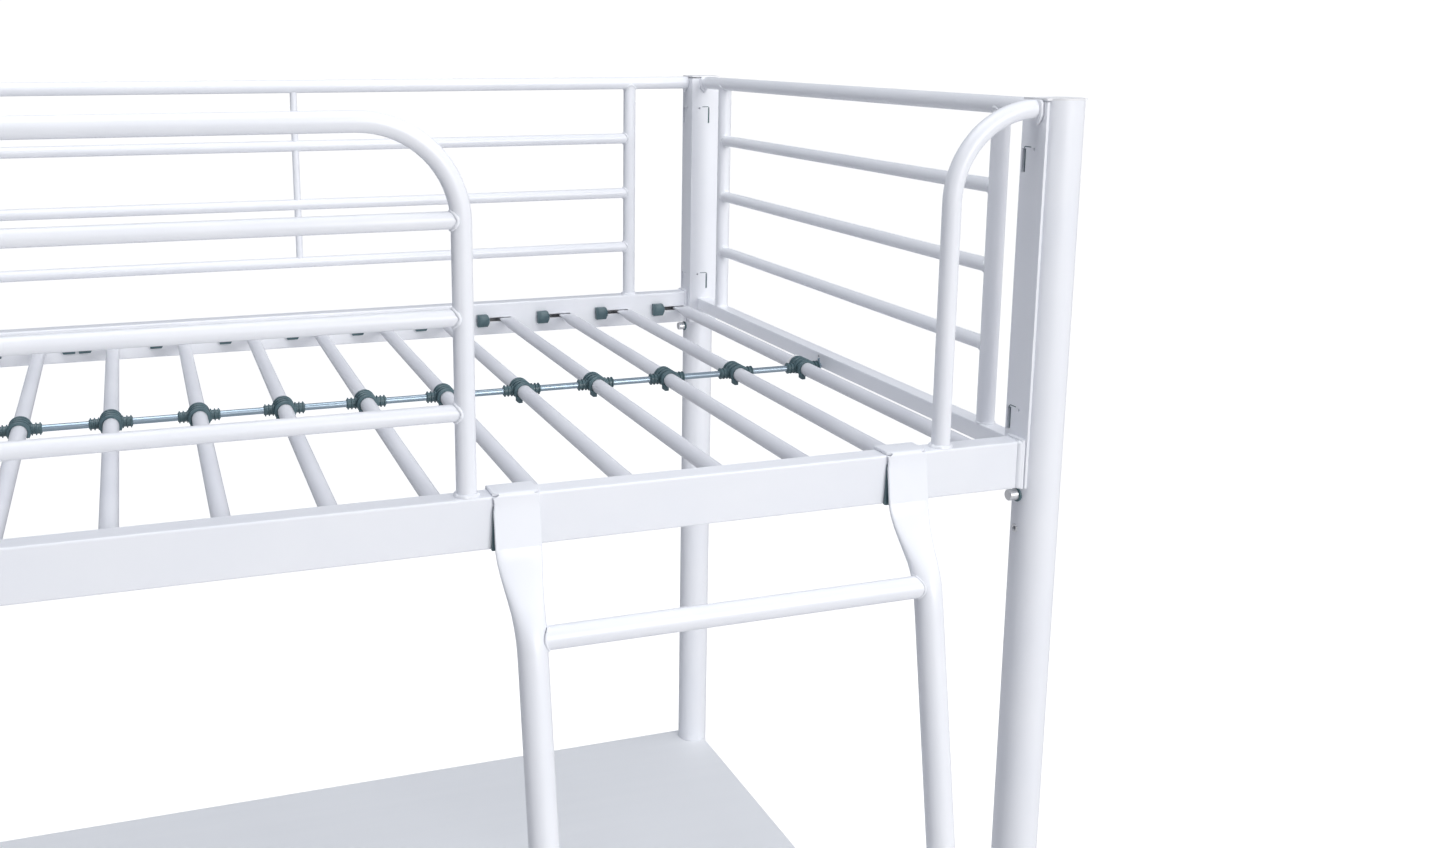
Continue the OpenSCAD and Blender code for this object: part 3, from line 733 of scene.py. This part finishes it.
# ---------- studio ----------

# Light from all around, by how far right it comes from: (position, colour)
SKY_LEFT = (0.0, (0.035, 0.045, 0.07))
SKY_MIDDLE = (0.45, (0.29, 0.305, 0.345))
SKY_RIGHT = (1.0, (0.40, 0.415, 0.45))
# What the camera sees behind the bed, a little over white
BACKDROP = 1.05
# The floor, in metres: half its side, and its height, just under the feet
FLOOR_HALF, FLOOR_Z = 40.0, -0.0005
# How much the floor glows in what lights the bed, and to the camera
FLOOR_GLOW, FLOOR_SEEN = 0.16, 0.88
# Area lights: name, place, aim, size in metres, watts, colour
LIGHTS = [
    ("main", (2900, -6900, 3300), (300, -300, 1300), 3.2, 285, (1.0, 0.995, 0.985)),
    ("right", (3700, -900, 3200), (300, 0, 1400), 2.4, 14, (1.0, 0.995, 0.99)),
    ("top", (-300, -300, 4600), (-100, 0, 1400), 2.4, 68, (0.97, 0.985, 1.0)),
]


def area_light(name, place, aim, size, power, colour):
    """Square light at place that points at aim."""
    data = bpy.data.lights.new(name, "AREA")
    data.size = size
    data.energy = power
    data.color = colour
    lamp = bpy.data.objects.new(name, data)
    lamp.location = place
    lamp.rotation_euler = (aim - place).to_track_quat("-Z", "Y").to_euler()
    bpy.context.scene.collection.objects.link(lamp)


def studio_world():
    """White backdrop for the camera; what lights the bed is brighter on its right."""
    world = bpy.data.worlds.new("studio")
    world.use_nodes = True
    bpy.context.scene.world = world
    tree = world.node_tree
    tree.nodes.clear()
    coords = tree.nodes.new("ShaderNodeTexCoord")
    split = tree.nodes.new("ShaderNodeSeparateXYZ")
    tree.links.new(coords.outputs["Generated"], split.inputs["Vector"])
    across = tree.nodes.new("ShaderNodeMapRange")
    across.inputs["From Min"].default_value = -1.0
    tree.links.new(split.outputs["X"], across.inputs["Value"])
    sky = colour_ramp(tree, across.outputs["Result"], SKY_LEFT, SKY_RIGHT, [SKY_MIDDLE])
    lit = node(tree, "ShaderNodeBackground", Strength=1.0)
    tree.links.new(sky, lit.inputs["Color"])
    seen = node(tree, "ShaderNodeBackground", Color=(1, 1, 1, 1), Strength=BACKDROP)
    path = tree.nodes.new("ShaderNodeLightPath")
    mix = tree.nodes.new("ShaderNodeMixShader")
    tree.links.new(path.outputs["Is Camera Ray"], mix.inputs["Fac"])
    tree.links.new(lit.outputs["Background"], mix.inputs[1])
    tree.links.new(seen.outputs["Background"], mix.inputs[2])
    out = tree.nodes.new("ShaderNodeOutputWorld")
    tree.links.new(mix.outputs["Shader"], out.inputs["Surface"])


def studio_floor():
    """White sweep that glows a little, so that only contact shadows show on it."""
    bm = bmesh.new()
    bm.faces.new([bm.verts.new((a * FLOOR_HALF, b * FLOOR_HALF, FLOOR_Z))
                  for a, b in ((-1, -1), (1, -1), (1, 1), (-1, 1))])
    mesh = bpy.data.meshes.new("studio_floor")
    bm.to_mesh(mesh)
    bm.free()
    mat, tree, bsdf = new_material("studio_white")
    tint(tree, bsdf, noise(tree, 2.0), (0.5, 0.5, 0.51), (0.52, 0.52, 0.53))
    bsdf.inputs["Roughness"].default_value = 0.9
    bsdf.inputs["Emission Color"].default_value = (1, 1, 1, 1)
    path = tree.nodes.new("ShaderNodeLightPath")
    glow = tree.nodes.new("ShaderNodeMapRange")
    glow.inputs["To Min"].default_value = FLOOR_GLOW
    glow.inputs["To Max"].default_value = FLOOR_SEEN
    tree.links.new(path.outputs["Is Camera Ray"], glow.inputs["Value"])
    tree.links.new(glow.outputs["Result"], bsdf.inputs["Emission Strength"])
    mesh.materials.append(mat)
    floor = bpy.data.objects.new("studio_floor", mesh)
    bpy.context.scene.collection.objects.link(floor)


studio_world()
studio_floor()
for name, place, aim, size, power, colour in LIGHTS:
    area_light(name, at(*place), at(*aim), size, power, colour)

# ---------- camera ----------

CAMERA_AT = (85, -1660, 1907)
# Angles in radians: down from the level, and to the right of straight at the bed
CAMERA_DOWN, CAMERA_RIGHT = 0.1932, 0.3237
CAMERA_LENS = 35.0
CAMERA_SHIFT = (0.085, -0.076)

camera_data = bpy.data.cameras.new("photo_camera")
camera_data.sensor_fit = "HORIZONTAL"
camera_data.sensor_width = 36.0
camera_data.lens = CAMERA_LENS
camera_data.shift_x, camera_data.shift_y = CAMERA_SHIFT
camera_data.clip_end = 60.0
camera = bpy.data.objects.new("photo_camera", camera_data)
camera.location = at(*CAMERA_AT)
camera.rotation_euler = (math.pi / 2 - CAMERA_DOWN, 0, -CAMERA_RIGHT)
bpy.context.scene.collection.objects.link(camera)
bpy.context.scene.camera = camera
bpy.context.scene.view_settings.view_transform = "Standard"
